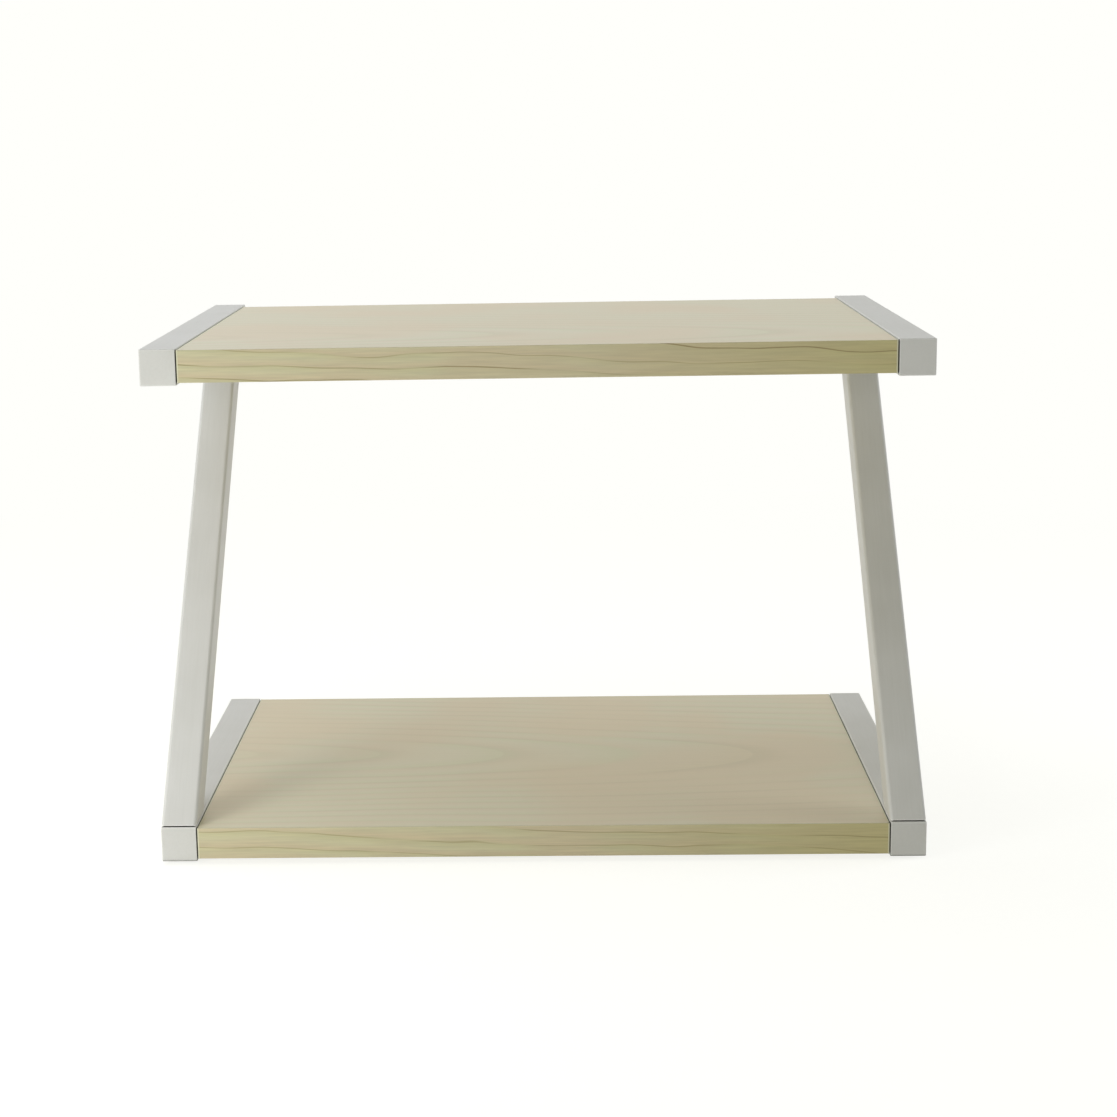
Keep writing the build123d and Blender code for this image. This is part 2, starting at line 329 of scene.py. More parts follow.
# Boards: chipboard faced with melamine paper that is printed as pale oak and pressed against a
# satin plate. The eye gets broad quiet rings with fine streaks, all at one even low gloss.
oakFace = {
    "pale": "#DED7BA",
    "olive": "#DAD6B5",
    "tan": "#DED4B6",
    "zone": "#E1D0B0",  # its warmer places
    "line": "#C4B998",
    "ior": 1.5,
    "roughness": 0.38,
    "glue": "#AD9770",  # hot melt that shows as a fine line where the front and back bands start
    "glueWidth": 0.4 * mm,
    "ringSpacing": 9 * mm,
    "ringDrift": 0.03,  # how far a ring slides over for each unit along the board
    "ringWander": 9 * mm,
    "wanderLength": 210 * mm,
    "wanderWidth": 70 * mm,
    # the tree's middle lies below the board and slopes, so that the rings come out as arches
    "pith": {"across": 15 * mm, "below": 48 * mm, "slope": 0.13, "shiftPerRise": 0.3},
    "zoneSize": 85 * mm,  # from one warmer zone of the print to the next
    "lineStart": 0.62,  # share of a ring where its dark line begins
    "lineStrength": 0.24,
    "comeAndGo": 110 * mm,  # length over which a line fades in or out
    "streakWidth": 0.9 * mm,
    "streakLength": 45 * mm,
    "streakStrength": 0.02,
    "poreDepth": 0.015 * mm,
    "poreGloss": 0.06,  # how much rougher the pores make the face
}

# Front and back bands: PVC strip with the same oak printed stronger on its outer face. Its cut
# and rounded edges show the cream plastic below the print.
oakBand = {
    "pale": "#CDC8A5",
    "olive": "#C8C39B",
    "tan": "#CDC09F",
    "zone": "#CDC09F",
    "line": "#8E7C52",
    "ior": 1.54,
    "roughness": 0.4,
    "ringSpacing": 7.2 * mm,
    "ringDrift": 0.035,
    "ringWander": 4.5 * mm,
    "wanderLength": 55 * mm,
    "wanderWidth": 16 * mm,
    "zoneSize": 60 * mm,
    # painted shade: the strip darkens over these places along it, from its middle to the right
    "rightShade": {"colour": "#BEB57F", "from": 20 * mm, "to": 170 * mm, "share": 0.8},
    "lineStart": 0.89,
    "lineStrength": 0.9,
    "comeAndGo": 45 * mm,
    "streakWidth": 1.1 * mm,
    "streakLength": 26 * mm,
    "streakStrength": 0.08,
    "poreDepth": 0.015 * mm,
    "poreGloss": 0.08,
    # outward part of a face's normal over which the cream of the trimmed edge turns to print
    "trim": {"from": 0.15, "to": 0.45},
}

# What the two prints have in common
oakYears = {
    "tones": ((0.0, "olive"), (0.35, "pale"), (0.82, "tan"), (1.0, "olive")),  # through one ring
    "zoneRange": {"from": 0.4, "to": 0.65},  # noise values over which a zone turns warm
    "zoneShare": 0.7,  # of the warm colour in the middle of a zone
    "lineFull": 0.95,  # share of a ring where its line is darkest
    "lineStop": 0.97,  # and where the line starts to end
    "faintestYear": 0.5,  # the faintest line's share of the strongest one's
    "fadeRange": {"from": 0.35, "to": 0.55},  # noise values over which a line comes back
    "fadedShare": 0.15,  # what stays of a line where it has faded
    "yearStep": 7.3,  # how far apart in the noise one year lies from the next
    "streakRange": {"from": 0.3, "to": 0.7},  # noise values from the darkest streak to the palest
}

# End bands: the same plastic strip without a print
creamBand = {
    "cream": "#DEDCC0",
    "shade": "#D5D2B4",
    "ior": 1.54,
    "roughness": 0.4,
    "dragWidth": 0.6 * mm,  # drawn coarser than the 0.1 mm lines that the die leaves
    "dragLength": 60 * mm,
    "dragDepth": 0.01 * mm,
    "dragGloss": 0.1,  # how much rougher the lines make the strip
}

chipboard = {
    "chips": (("#B9925F", 0.0), ("#CDAA78", 0.45), ("#DDC196", 0.8), ("#8E6A42", 1.0)),
    "chipSize": 2.2 * mm,
    "roughness": 0.85,
    "steepest": 0.9,  # a face whose normal points up or down by less than this is bare
}


def fromPith(tree, split, across, pith):
    # how far a point is from the tree's middle; the upper board is cut from further aside
    aside = addNode(
        tree,
        "ShaderNodeMath",
        {"operation": "MULTIPLY_ADD", 1: pith["shiftPerRise"]},
        {0: split.outputs["Z"], 2: across},
    )
    centred = addNode(
        tree,
        "ShaderNodeMath",
        {"operation": "SUBTRACT", 1: pith["across"]},
        {0: aside.outputs["Value"]},
    )
    below = addNode(
        tree,
        "ShaderNodeMath",
        {"operation": "MULTIPLY_ADD", 1: pith["slope"], 2: pith["below"]},
        {0: split.outputs["X"]},
    )
    reach = addNode(
        tree,
        "ShaderNodeCombineXYZ",
        links={"X": centred.outputs["Value"], "Y": below.outputs["Value"]},
    )
    distance = addNode(
        tree,
        "ShaderNodeVectorMath",
        {"operation": "LENGTH"},
        {0: reach.outputs["Vector"]},
    )
    return distance.outputs["Value"]


def withRightShade(tree, split, colour, rightShade):
    # the print's colour, mixed with a painted shade towards the right
    share = addNode(
        tree,
        "ShaderNodeMapRange",
        {
            "From Min": rightShade["from"],
            "From Max": rightShade["to"],
            "To Max": rightShade["share"],
        },
        {"Value": split.outputs["X"]},
    )
    mixed = addNode(
        tree,
        "ShaderNodeMix",
        {"data_type": "RGBA", mixB: hexToLinear(rightShade["colour"])},
        {"Factor": share.outputs["Result"], mixA: colour},
    )
    return mixed.outputs[mixColour]


def oakPrint(tree, place, look, across):
    # rings and streaks that run along X; across is the axis that crosses them.
    # Returns the colour and how deep the print's pores are pressed.
    split = addNode(tree, "ShaderNodeSeparateXYZ", links={"Vector": place.outputs["Object"]})
    flat = addNode(
        tree,
        "ShaderNodeCombineXYZ",
        links={
            "X": split.outputs["X"],
            "Y": split.outputs[across],
            "Z": split.outputs["Z" if across == "Y" else "Y"],
        },
    )
    wanderMap = addNode(
        tree,
        "ShaderNodeMapping",
        {"Scale": (1 / look["wanderLength"], 1 / look["wanderWidth"], 1 / look["wanderLength"])},
        {"Vector": flat.outputs["Vector"]},
    )
    wander = addNode(
        tree,
        "ShaderNodeTexNoise",
        {"Scale": 1.0, "Detail": 1.5, "Roughness": 0.35},
        {"Vector": wanderMap.outputs["Vector"]},
    )
    drift = addNode(
        tree,
        "ShaderNodeMath",
        {"operation": "MULTIPLY_ADD", 1: look["ringDrift"]},
        {0: split.outputs["X"], 2: split.outputs[across]},
    )
    wandered = addNode(
        tree,
        "ShaderNodeMath",
        {"operation": "MULTIPLY_ADD", 1: 2 * look["ringWander"]},
        {0: wander.outputs["Fac"], 2: drift.outputs["Value"]},
    )
    # a band is too narrow to show an arch, so its rings are plain lines
    growth = wandered.outputs["Value"]
    if "pith" in look:
        growth = fromPith(tree, split, growth, look["pith"])
    rings = addNode(
        tree,
        "ShaderNodeMath",
        {"operation": "MULTIPLY", 1: -1 / look["ringSpacing"]},
        {0: growth},
    )
    phase = addNode(tree, "ShaderNodeMath", {"operation": "FRACT"}, {0: rings.outputs["Value"]})
    year = addNode(tree, "ShaderNodeMath", {"operation": "FLOOR"}, {0: rings.outputs["Value"]})
    yearLuck = addNode(
        tree,
        "ShaderNodeTexWhiteNoise",
        {"noise_dimensions": "1D"},
        {"W": year.outputs["Value"]},
    )
    wood = addNode(
        tree,
        "ShaderNodeValToRGB",
        {"ramp": [(at, look[tone]) for at, tone in oakYears["tones"]]},
        {"Fac": phase.outputs["Value"]},
    )
    zones = addNode(
        tree,
        "ShaderNodeTexNoise",
        {"Scale": 1 / look["zoneSize"], "Detail": 1.0},
        {"Vector": place.outputs["Object"]},
    )
    warmth = addNode(
        tree,
        "ShaderNodeMapRange",
        {
            "interpolation_type": "SMOOTHSTEP",
            "From Min": oakYears["zoneRange"]["from"],
            "From Max": oakYears["zoneRange"]["to"],
            "To Max": oakYears["zoneShare"],
        },
        {"Value": zones.outputs["Fac"]},
    )
    zoned = addNode(
        tree,
        "ShaderNodeMix",
        {"data_type": "RGBA", mixB: hexToLinear(look["zone"])},
        {"Factor": warmth.outputs["Result"], mixA: wood.outputs["Color"]},
    )
    ground = zoned.outputs[mixColour]
    # painted shade towards the right end of the strip
    if "rightShade" in look:
        ground = withRightShade(tree, split, ground, look["rightShade"])
    # the dark line at the end of a year's growth: it swells softly and stops sharply
    swell = addNode(
        tree,
        "ShaderNodeMapRange",
        {
            "interpolation_type": "SMOOTHSTEP",
            "From Min": look["lineStart"],
            "From Max": oakYears["lineFull"],
        },
        {"Value": phase.outputs["Value"]},
    )
    stop = addNode(
        tree,
        "ShaderNodeMapRange",
        {"interpolation_type": "SMOOTHSTEP", "From Min": 1.0, "From Max": oakYears["lineStop"]},
        {"Value": phase.outputs["Value"]},
    )
    line = addNode(
        tree,
        "ShaderNodeMath",
        {"operation": "MULTIPLY"},
        {0: swell.outputs["Result"], 1: stop.outputs["Result"]},
    )
    yearWeight = addNode(
        tree,
        "ShaderNodeMapRange",
        {
            "To Min": oakYears["faintestYear"] * look["lineStrength"],
            "To Max": look["lineStrength"],
        },
        {"Value": yearLuck.outputs["Value"]},
    )
    # along its way a line fades out and comes back, each year's at places of its own
    yearPlace = addNode(
        tree,
        "ShaderNodeCombineXYZ",
        links={"X": split.outputs["X"], "Y": year.outputs["Value"]},
    )
    fadeMap = addNode(
        tree,
        "ShaderNodeMapping",
        {"Scale": (1 / look["comeAndGo"], oakYears["yearStep"], 1.0)},
        {"Vector": yearPlace.outputs["Vector"]},
    )
    fade = addNode(
        tree,
        "ShaderNodeTexNoise",
        {"Scale": 1.0, "Detail": 0.0},
        {"Vector": fadeMap.outputs["Vector"]},
    )
    fadeWeight = addNode(
        tree,
        "ShaderNodeMapRange",
        {
            "interpolation_type": "SMOOTHSTEP",
            "From Min": oakYears["fadeRange"]["from"],
            "From Max": oakYears["fadeRange"]["to"],
            "To Min": oakYears["fadedShare"],
        },
        {"Value": fade.outputs["Fac"]},
    )
    yearLine = addNode(
        tree,
        "ShaderNodeMath",
        {"operation": "MULTIPLY"},
        {0: fadeWeight.outputs["Result"], 1: yearWeight.outputs["Result"]},
    )
    lineWeight = addNode(
        tree,
        "ShaderNodeMath",
        {"operation": "MULTIPLY"},
        {0: line.outputs["Value"], 1: yearLine.outputs["Value"]},
    )
    lined = addNode(
        tree,
        "ShaderNodeMix",
        {"data_type": "RGBA", mixB: hexToLinear(look["line"])},
        {"Factor": lineWeight.outputs["Value"], mixA: ground},
    )
    streakMap = addNode(
        tree,
        "ShaderNodeMapping",
        {"Scale": (1 / look["streakLength"], 1 / look["streakWidth"], 1 / look["streakLength"])},
        {"Vector": flat.outputs["Vector"]},
    )
    streaks = addNode(
        tree,
        "ShaderNodeTexNoise",
        {"Scale": 1.0, "Detail": 4.0, "Roughness": 0.6, "Distortion": 0.2},
        {"Vector": streakMap.outputs["Vector"]},
    )
    streakTone = addNode(
        tree,
        "ShaderNodeMapRange",
        {
            "From Min": oakYears["streakRange"]["from"],
            "From Max": oakYears["streakRange"]["to"],
            "To Min": 1 - look["streakStrength"],
            "To Max": 1 + look["streakStrength"],
        },
        {"Value": streaks.outputs["Fac"]},
    )
    streaked = addNode(
        tree,
        "ShaderNodeVectorMath",
        {"operation": "SCALE"},
        {0: lined.outputs[mixColour], "Scale": streakTone.outputs["Result"]},
    )
    return streaked.outputs["Vector"], streaks.outputs["Fac"]


def oakBoardMaterial():
    # printed on the top and the underside, bare chipboard in the bores and at the sawn edges
    look = oakFace
    material, tree, shader, place = newMaterial("oakPrintMelaminePressed")
    colour, pores = oakPrint(tree, place, look, "Y")
    chips = addNode(
        tree,
        "ShaderNodeTexVoronoi",
        {"Scale": 1 / chipboard["chipSize"], "Randomness": 1.0},
        {"Vector": place.outputs["Object"]},
    )
    chipTone = addNode(tree, "ShaderNodeSeparateColor", links={"Color": chips.outputs["Color"]})
    chipColour = addNode(
        tree,
        "ShaderNodeValToRGB",
        {"ramp": [(at, tone) for tone, at in chipboard["chips"]]},
        {"Fac": chipTone.outputs["Red"]},
    )
    upright = addNode(tree, "ShaderNodeSeparateXYZ", links={"Vector": place.outputs["Normal"]})
    levelness = addNode(tree, "ShaderNodeMath", {"operation": "ABSOLUTE"}, {0: upright.outputs["Z"]})
    printed = addNode(
        tree,
        "ShaderNodeMath",
        {"operation": "GREATER_THAN", 1: chipboard["steepest"]},
        {0: levelness.outputs["Value"]},
    )
    surface = addNode(
        tree,
        "ShaderNodeMix",
        {"data_type": "RGBA"},
        {"Factor": printed.outputs["Value"], mixA: chipColour.outputs["Color"], mixB: colour},
    )
    # place across the board, from 0 at the front edge of the core to 1 at its back edge, folded
    # at the middle so that it gives the share of the way in from the nearer edge
    low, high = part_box("upper_board_core")
    share = addNode(tree, "ShaderNodeSeparateXYZ", links={"Vector": place.outputs["Generated"]})
    middle = 0.5
    nearEdge = addNode(
        tree,
        "ShaderNodeMath",
        {"operation": "PINGPONG", 1: middle},
        {0: share.outputs["Y"]},
    )
    glueLine = addNode(
        tree,
        "ShaderNodeMapRange",
        {"From Min": look["glueWidth"] / (high.y - low.y), "From Max": 0.0},
        {"Value": nearEdge.outputs["Value"]},
    )
    glued = addNode(
        tree,
        "ShaderNodeMix",
        {"data_type": "RGBA", mixB: hexToLinear(look["glue"])},
        {"Factor": glueLine.outputs["Result"], mixA: surface.outputs[mixColour]},
    )
    gloss = addNode(
        tree,
        "ShaderNodeMapRange",
        {"To Min": chipboard["roughness"], "To Max": look["roughness"]},
        {"Value": printed.outputs["Value"]},
    )
    glossStreaks = addNode(
        tree,
        "ShaderNodeMath",
        {"operation": "MULTIPLY_ADD", 1: look["poreGloss"]},
        {0: pores, 2: gloss.outputs["Result"]},
    )
    pressed = addNode(
        tree,
        "ShaderNodeBump",
        {"Strength": 1.0, "Distance": look["poreDepth"]},
        {"Height": pores},
    )
    shader.inputs["IOR"].default_value = look["ior"]
    # painted shade in the seams, over the board's colour
    seamShaded = withPaintedSeamShade(tree, place, glued.outputs[mixColour], seams["shadeFrom"])
    finishShader(tree, shader, seamShaded, glossStreaks.outputs["Value"], pressed.outputs["Normal"])
    return material


def creamPlastic(tree, place, look):
    # colour and height of the bare strip, with the die's lines along it
    dragMap = addNode(
        tree,
        "ShaderNodeMapping",
        {"Scale": (1 / look["dragWidth"], 1 / look["dragLength"], 1 / look["dragWidth"])},
        {"Vector": place.outputs["Object"]},
    )
    drag = addNode(
        tree,
        "ShaderNodeTexNoise",
        {"Scale": 1.0, "Detail": 2.0, "Roughness": 0.5},
        {"Vector": dragMap.outputs["Vector"]},
    )
    colour = addNode(
        tree,
        "ShaderNodeMix",
        {
            "data_type": "RGBA",
            mixA: hexToLinear(look["shade"]),
            mixB: hexToLinear(look["cream"]),
        },
        {"Factor": drag.outputs["Fac"]},
    )
    return colour.outputs[mixColour], drag.outputs["Fac"]


def creamBandMaterial():
    look = creamBand
    material, tree, shader, place = newMaterial("creamPvcBandExtruded")
    colour, drag = creamPlastic(tree, place, look)
    gloss = addNode(
        tree,
        "ShaderNodeMath",
        {"operation": "MULTIPLY_ADD", 1: look["dragGloss"], 2: look["roughness"]},
        {0: drag},
    )
    lines = addNode(
        tree,
        "ShaderNodeBump",
        {"Strength": 1.0, "Distance": look["dragDepth"]},
        {"Height": drag},
    )
    shader.inputs["IOR"].default_value = look["ior"]
    # painted shade in the seams, over the strip's colour
    seamShaded = withPaintedSeamShade(tree, place, colour, seams["shadeFrom"])
    finishShader(tree, shader, seamShaded, gloss.outputs["Value"], lines.outputs["Normal"])
    return material


def oakBandMaterial():
    # printed on the outer face, cream where the strip was trimmed and rounded
    look = oakBand
    material, tree, shader, place = newMaterial("oakPrintPvcBand")
    colour, pores = oakPrint(tree, place, look, "Z")
    cream, drag = creamPlastic(tree, place, creamBand)
    outward = addNode(tree, "ShaderNodeSeparateXYZ", links={"Vector": place.outputs["Normal"]})
    facing = addNode(tree, "ShaderNodeMath", {"operation": "ABSOLUTE"}, {0: outward.outputs["Y"]})
    printed = addNode(
        tree,
        "ShaderNodeMapRange",
        {"From Min": look["trim"]["from"], "From Max": look["trim"]["to"]},
        {"Value": facing.outputs["Value"]},
    )
    surface = addNode(
        tree,
        "ShaderNodeMix",
        {"data_type": "RGBA"},
        {"Factor": printed.outputs["Result"], mixA: cream, mixB: colour},
    )
    gloss = addNode(
        tree,
        "ShaderNodeMath",
        {"operation": "MULTIPLY_ADD", 1: look["poreGloss"], 2: look["roughness"]},
        {0: pores},
    )
    pressed = addNode(
        tree,
        "ShaderNodeBump",
        {"Strength": 1.0, "Distance": look["poreDepth"]},
        {"Height": pores},
    )
    shader.inputs["IOR"].default_value = look["ior"]
    # painted shade in the seams, over the band's colour
    seamShaded = withPaintedSeamShade(tree, place, surface.outputs[mixColour], seams["shadeFrom"])
    finishShader(tree, shader, seamShaded, gloss.outputs["Value"], pressed.outputs["Normal"])
    return material


def finishBoards():
    face, band, plain = oakBoardMaterial(), oakBandMaterial(), creamBandMaterial()
    for level in levels:
        give(face, f"{level}_board_core")
        for end in ends:
            give(band, f"{level}_board_{end}_band")
        for side in sides:
            give(plain, f"{level}_board_{side}_band")


finishBoards()
print("boards: oak print on the faces and long bands, cream on the end bands")

# Screws: zinc plated steel, turned and rolled. The eye gets a cool grey metal with fine rings.
zinc = {
    "metal": "#C3C6C8",
    "dull": "#A3A7AB",
    "roughness": 0.32,
    "spotSize": 1.4 * mm,
    "spotGloss": 0.2,  # how much rougher the spots make the metal
    "ringPitch": 2.2 * mm,  # turning marks, drawn coarser than the real 0.05 mm
    "ringDepth": 0.008 * mm,
    "waveStep": math.tau / 20,  # from one crest to the next of a Wave node at scale 1
}

# Dowels: steamed beech, turned and fluted, left raw. The eye gets a warm dry wood with flecks.
beech = {
    "light": "#DDBE97",
    "dark": "#C79F73",
    "fleck": "#A97F55",
    "roughness": 0.72,
    "fleckWidth": 0.35 * mm,
    "fleckLength": 2.6 * mm,
    "fleckDepth": 0.02 * mm,
    "fleckGloss": 0.12,  # how much rougher the flecks make the wood
}

# Caps: polypropylene, injection moulded with a fine spark-eroded face, coloured as the lacquer
cap = {
    "white": "#D8D9D3",
    "shade": "#CFD0CA",
    "ior": 1.49,
    "roughness": 0.46,
    "grainSize": 0.45 * mm,  # real spark erosion is near 0.05 mm, drawn coarser
    "grainDepth": 0.012 * mm,
    "grainGloss": 0.1,  # how much rougher the grain makes the plastic
}

# Pads: closed-cell EVA foam, cut from sheet. The eye gets a matt grey with tiny cells.
foam = {
    "grey": "#B9BAB6",
    "cell": "#9C9D99",
    "roughness": 0.88,
    "cellSize": 0.5 * mm,
    "cellDepth": 0.05 * mm,
    "cellGloss": 0.1,  # how much rougher the cells make the foam
}


def zincMaterial():
    look = zinc
    material, tree, shader, place = newMaterial("zincPlatedSteelTurned")
    spots = addNode(
        tree,
        "ShaderNodeTexNoise",
        {"Scale": 1 / look["spotSize"], "Detail": 3.0},
        {"Vector": place.outputs["Object"]},
    )
    rings = addNode(
        tree,
        "ShaderNodeTexWave",
        {
            "wave_type": "RINGS",
            "rings_direction": "SPHERICAL",
            "Scale": look["waveStep"] / look["ringPitch"],
            "Distortion": 0.4,
        },
        {"Vector": place.outputs["Object"]},
    )
    metal = addNode(
        tree,
        "ShaderNodeMix",
        {
            "data_type": "RGBA",
            mixA: hexToLinear(look["dull"]),
            mixB: hexToLinear(look["metal"]),
        },
        {"Factor": spots.outputs["Fac"]},
    )
    gloss = addNode(
        tree,
        "ShaderNodeMath",
        {"operation": "MULTIPLY_ADD", 1: look["spotGloss"], 2: look["roughness"]},
        {0: spots.outputs["Fac"]},
    )
    marks = addNode(
        tree,
        "ShaderNodeBump",
        {"Strength": 1.0, "Distance": look["ringDepth"]},
        {"Height": rings.outputs["Fac"]},
    )
    shader.inputs["Metallic"].default_value = 1.0
    finishShader(tree, shader, metal.outputs[mixColour], gloss.outputs["Value"], marks.outputs["Normal"])
    return material


def beechMaterial(name, axis):
    # axis is 0 for dowels that lie along X and 2 for upright ones
    look = beech
    material, tree, shader, place = newMaterial(name)
    scale = [1 / look["fleckWidth"]] * 3
    scale[axis] = 1 / look["fleckLength"]
    along = addNode(
        tree,
        "ShaderNodeMapping",
        {"Scale": scale},
        {"Vector": place.outputs["Object"]},
    )
    fibre = addNode(
        tree,
        "ShaderNodeTexNoise",
        {"Scale": 1.0, "Detail": 3.0, "Roughness": 0.6},
        {"Vector": along.outputs["Vector"]},
    )
    colour = addNode(
        tree,
        "ShaderNodeValToRGB",
        {"ramp": ((0.28, look["fleck"]), (0.4, look["dark"]), (0.75, look["light"]))},
        {"Fac": fibre.outputs["Fac"]},
    )
    gloss = addNode(
        tree,
        "ShaderNodeMath",
        {"operation": "MULTIPLY_ADD", 1: look["fleckGloss"], 2: look["roughness"]},
        {0: fibre.outputs["Fac"]},
    )
    fibres = addNode(
        tree,
        "ShaderNodeBump",
        {"Strength": 1.0, "Distance": look["fleckDepth"]},
        {"Height": fibre.outputs["Fac"]},
    )
    finishShader(tree, shader, colour.outputs["Color"], gloss.outputs["Value"], fibres.outputs["Normal"])
    return material


def capMaterial():
    look = cap
    material, tree, shader, place = newMaterial("polypropyleneMoulded")
    spark = addNode(
        tree,
        "ShaderNodeTexNoise",
        {"Scale": 1 / look["grainSize"], "Detail": 2.0},
        {"Vector": place.outputs["Object"]},
    )
    colour = addNode(
        tree,
        "ShaderNodeMix",
        {
            "data_type": "RGBA",
            mixA: hexToLinear(look["shade"]),
            mixB: hexToLinear(look["white"]),
        },
        {"Factor": spark.outputs["Fac"]},
    )
    gloss = addNode(
        tree,
        "ShaderNodeMath",
        {"operation": "MULTIPLY_ADD", 1: look["grainGloss"], 2: look["roughness"]},
        {0: spark.outputs["Fac"]},
    )
    grain = addNode(
        tree,
        "ShaderNodeBump",
        {"Strength": 1.0, "Distance": look["grainDepth"]},
        {"Height": spark.outputs["Fac"]},
    )
    shader.inputs["IOR"].default_value = look["ior"]
    finishShader(tree, shader, colour.outputs[mixColour], gloss.outputs["Value"], grain.outputs["Normal"])
    return material


def foamMaterial():
    look = foam
    material, tree, shader, place = newMaterial("evaFoamCut")
    cells = addNode(
        tree,
        "ShaderNodeTexVoronoi",
        {"Scale": 1 / look["cellSize"]},
        {"Vector": place.outputs["Object"]},
    )
    colour = addNode(
        tree,
        "ShaderNodeMix",
        {
            "data_type": "RGBA",
            mixA: hexToLinear(look["cell"]),
            mixB: hexToLinear(look["grey"]),
        },
        {"Factor": cells.outputs["Distance"]},
    )
    gloss = addNode(
        tree,
        "ShaderNodeMath",
        {"operation": "MULTIPLY_ADD", 1: look["cellGloss"], 2: look["roughness"]},
        {0: cells.outputs["Distance"]},
    )
    pits = addNode(
        tree,
        "ShaderNodeBump",
        {"Strength": 1.0, "Distance": look["cellDepth"]},
        {"Height": cells.outputs["Distance"]},
    )
    finishShader(tree, shader, colour.outputs[mixColour], gloss.outputs["Value"], pits.outputs["Normal"])
    return material


def finishFasteners():
    steel, plastic, pad = zincMaterial(), capMaterial(), foamMaterial()
    lying = beechMaterial("beechDowelLying", 0)
    upright = beechMaterial("beechDowelUpright", 2)
    for side in sides:
        give(steel, f"{side}_leg_screw")
        give(upright, f"{side}_leg_dowels")
        give(pad, *(f"{end}_{side}_pad" for end in ends))
        for level in levels:
            give(steel, f"{level}_{side}_board_screws")
            give(plastic, f"{level}_{side}_screw_caps")
            give(lying, f"{level}_{side}_board_dowels")


finishFasteners()
print("fasteners: zinc screws, beech dowels, moulded caps and foam pads")

# Photograph: the eye stands nearly square on, a little above the upper board
photo = {
    "width": 1117,
    "centre": (490, 545),  # the pixel that the lens points at; the picture was cropped off centre
    "focalPixels": 2217.6,
    "sensor": 36.0,  # millimetres, as the lens below
    "place": Vector((9.9, -1191.8, 372.1)) * mm,
    "yaw": -1.796,  # degrees, positive to the right
    "pitch": 11.082,  # degrees down
    "roll": -1.011,
    "seenFrom": 0.05,  # metres from the lens to where the picture starts
    "seenTo": 100,
}


def makeCamera():
    data = bpy.data.cameras.new("photoCamera")
    data.sensor_width = photo["sensor"]
    data.lens = photo["sensor"] * photo["focalPixels"] / photo["width"]
    data.clip_start, data.clip_end = photo["seenFrom"], photo["seenTo"]
    middle = photo["width"] / 2
    data.shift_x = (middle - photo["centre"][0]) / photo["width"]
    data.shift_y = (photo["centre"][1] - middle) / photo["width"]
    camera = bpy.data.objects.new("photoCamera", data)
    turn = (
        Matrix.Rotation(-math.radians(photo["yaw"]), 4, "Z")
        @ Matrix.Rotation(math.radians(90 - photo["pitch"]), 4, "X")
        @ Matrix.Rotation(math.radians(photo["roll"]), 4, "Z")
    )
    camera.matrix_world = Matrix.Translation(photo["place"]) @ turn
    bpy.context.scene.collection.objects.link(camera)
    bpy.context.scene.camera = camera


makeCamera()
print("camera: at the photograph's place")

# Studio: a white sweep, soft light all round, large softboxes above, and smaller ones low at the
# left front and at the right. A surface that they light to 1 in all shows its colour as written.
studio = {
    "background": "#FFFFFB",
    "shade": "#FFFDE8",  # light that comes off the room's walls, a little warm
    "floor": "#ECECE8",
    "floorSize": 12.0,
    "floorDrop": 0.05 * mm,  # keeps the floor's face clear of the pads' faces
    "floorGlow": 0.58,  # share of the floor's white near the rack that takes no shadow
    "floorLit": 0.46,  # how bright the lamps and the world show the floor's own colour
    "shadowReach": (0.35, 1.0),  # metres from the rack over which the floor turns plain white
    "ambient": 0.22,
    "aim": (-0.05, -0.05, 0.13),
    "lamps": {
        # place and size in metres. The small ones stay out of reflections, because they would
        # burn out the boards as seen from the far side.
        "overheadSoftbox": {
            "place": (-0.72, -0.1, 1.5),
            "size": 1.8,
            "level": 0.41,
            "tint": "#F3F5FF",
            "reflected": True,
        },
        "backSoftbox": {
            "place": (-0.7, 0.8, 1.3),
            "size": 1.2,
            "level": 0.19,
            "tint": "#F3F5FF",
            "reflected": True,
        },
        "leftSoftbox": {
            "place": (-0.9, -0.9, 0.22),
            "size": 0.4,
            "level": 0.31,
            "tint": "#FCFDFF",
            "reflected": False,
        },
        "nearSoftbox": {
            "place": (-0.45, -0.45, 0.11),
            "size": 0.2,
            "level": 0.19,
            "tint": "#FFFEFA",
            "reflected": False,
        },
        "rightSoftbox": {
            "place": (1.3, 0.15, 0.34),
            "size": 0.5,
            "level": 0.33,
            "tint": "#F0F4FF",
            "reflected": False,
        },
    },
}


def seenPlainly(tree):
    # 1 for rays from the camera and for those that metal or glass sends on, else 0
    rays = addNode(tree, "ShaderNodeLightPath")
    glossy = addNode(
        tree,
        "ShaderNodeMath",
        {"operation": "MAXIMUM"},
        {0: rays.outputs["Is Camera Ray"], 1: rays.outputs["Is Glossy Ray"]},
    )
    seen = addNode(
        tree,
        "ShaderNodeMath",
        {"operation": "MAXIMUM"},
        {0: glossy.outputs["Value"], 1: rays.outputs["Is Transmission Ray"]},
    )
    return seen.outputs["Value"]


def makeWorld():
    world = bpy.data.worlds.new("studioWhite")
    world.use_nodes = True
    tree = world.node_tree
    tree.nodes.clear()
    seen = seenPlainly(tree)
    strength = addNode(
        tree,
        "ShaderNodeMapRange",
        {"To Min": studio["ambient"], "To Max": 1.0},
        {"Value": seen},
    )
    tint = addNode(
        tree,
        "ShaderNodeMix",
        {
            "data_type": "RGBA",
            mixA: hexToLinear(studio["shade"]),
            mixB: hexToLinear(studio["background"]),
        },
        {"Factor": seen},
    )
    light = addNode(
        tree,
        "ShaderNodeBackground",
        links={"Color": tint.outputs[mixColour], "Strength": strength.outputs["Result"]},
    )
    addNode(tree, "ShaderNodeOutputWorld", links={"Surface": light.outputs["Background"]})
    bpy.context.scene.world = world


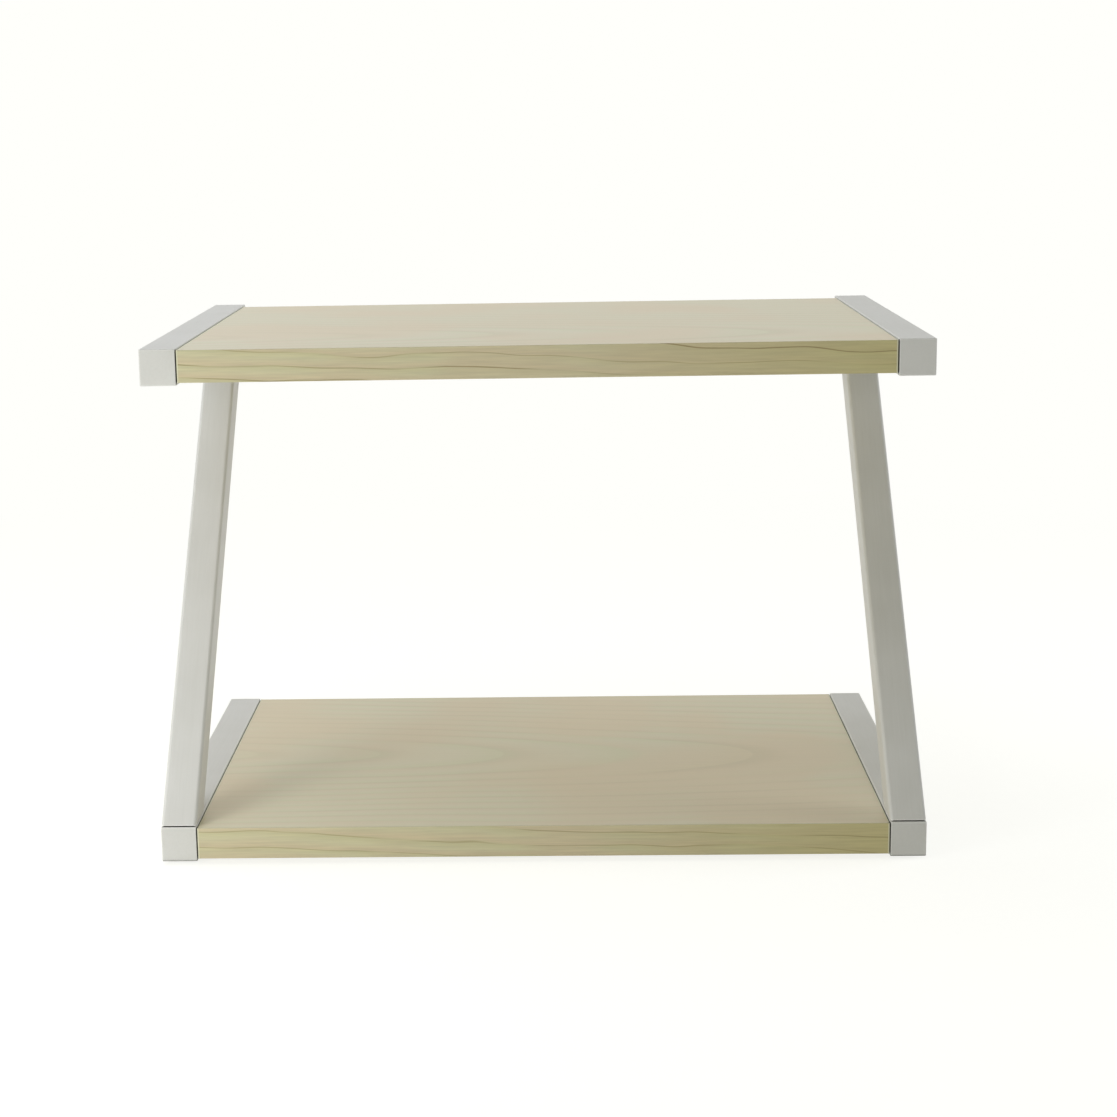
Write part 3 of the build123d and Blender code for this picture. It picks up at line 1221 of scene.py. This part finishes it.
def makeFloor():
    half, level = studio["floorSize"] / 2, -studio["floorDrop"]
    corners = [(-half, -half, level), (half, -half, level), (half, half, level), (-half, half, level)]
    mesh = bpy.data.meshes.new("studioFloor")
    mesh.from_pydata(corners, [], [(0, 1, 2, 3)])
    floor = bpy.data.objects.new("studioFloor", mesh)
    bpy.context.scene.collection.objects.link(floor)
    material = bpy.data.materials.new("studioPaper")
    material.use_nodes = True
    material.cycles.emission_sampling = "NONE"  # the glow is only looked at, it lights nothing
    tree = material.node_tree
    tree.nodes.clear()
    place = addNode(tree, "ShaderNodeTexCoord")
    distance = addNode(
        tree,
        "ShaderNodeVectorMath",
        {"operation": "LENGTH"},
        {0: place.outputs["Object"]},
    )
    near, far = studio["shadowReach"]
    glowing = addNode(
        tree,
        "ShaderNodeMapRange",
        {"From Min": near, "From Max": far, "To Min": studio["floorGlow"]},
        {"Value": distance.outputs["Value"]},
    )
    seen = seenPlainly(tree)
    share = addNode(
        tree,
        "ShaderNodeMath",
        {"operation": "MULTIPLY"},
        {0: seen, 1: glowing.outputs["Result"]},
    )
    # the eye sees that share less of the paper's own light and shade
    ownColour = addNode(
        tree,
        "ShaderNodeMix",
        {"data_type": "RGBA", mixA: hexToLinear(studio["floor"]), mixB: (0, 0, 0, 1)},
        {"Factor": share.outputs["Value"]},
    )
    paper = addNode(tree, "ShaderNodeBsdfDiffuse", links={"Color": ownColour.outputs[mixColour]})
    # and the glow makes up for what the rest lacks, so that both together are white
    lacking = addNode(
        tree,
        "ShaderNodeMapRange",
        {"To Min": 1 - studio["floorLit"], "To Max": 1.0},
        {"Value": glowing.outputs["Result"]},
    )
    strength = addNode(
        tree,
        "ShaderNodeMath",
        {"operation": "MULTIPLY"},
        {0: seen, 1: lacking.outputs["Result"]},
    )
    glow = addNode(
        tree,
        "ShaderNodeEmission",
        {"Color": hexToLinear(studio["background"])},
        {"Strength": strength.outputs["Value"]},
    )
    both = addNode(
        tree,
        "ShaderNodeAddShader",
        links={0: paper.outputs["BSDF"], 1: glow.outputs["Emission"]},
    )
    # from below the paper is clear, so that the underside of the rack can be looked at
    clear = addNode(tree, "ShaderNodeBsdfTransparent")
    side = addNode(tree, "ShaderNodeNewGeometry")
    sheet = addNode(
        tree,
        "ShaderNodeMixShader",
        links={0: side.outputs["Backfacing"], 1: both.outputs["Shader"], 2: clear.outputs["BSDF"]},
    )
    addNode(tree, "ShaderNodeOutputMaterial", links={"Surface": sheet.outputs["Shader"]})
    mesh.materials.append(material)


def makeLamps():
    for name, lamp in studio["lamps"].items():
        place, aim = Vector(lamp["place"]), Vector(studio["aim"])
        data = bpy.data.lights.new(name, "AREA")
        data.shape = "SQUARE"
        data.size = lamp["size"]
        data.color = hexToLinear(lamp["tint"])[:3]
        # a lamp of this power lights a surface at its aim, square on, to the level
        data.energy = lamp["level"] * math.pi ** 2 * (aim - place).length_squared
        box = bpy.data.objects.new(name, data)
        box.location = place
        box.visible_camera = False
        box.visible_glossy = lamp["reflected"]
        box.rotation_mode = "QUATERNION"
        box.rotation_quaternion = (aim - place).to_track_quat("-Z", "Y")
        bpy.context.scene.collection.objects.link(box)


makeWorld()
makeFloor()
makeLamps()
bpy.context.scene.view_settings.view_transform = "Standard"
print("studio: white sweep and", len(studio["lamps"]), "softboxes")
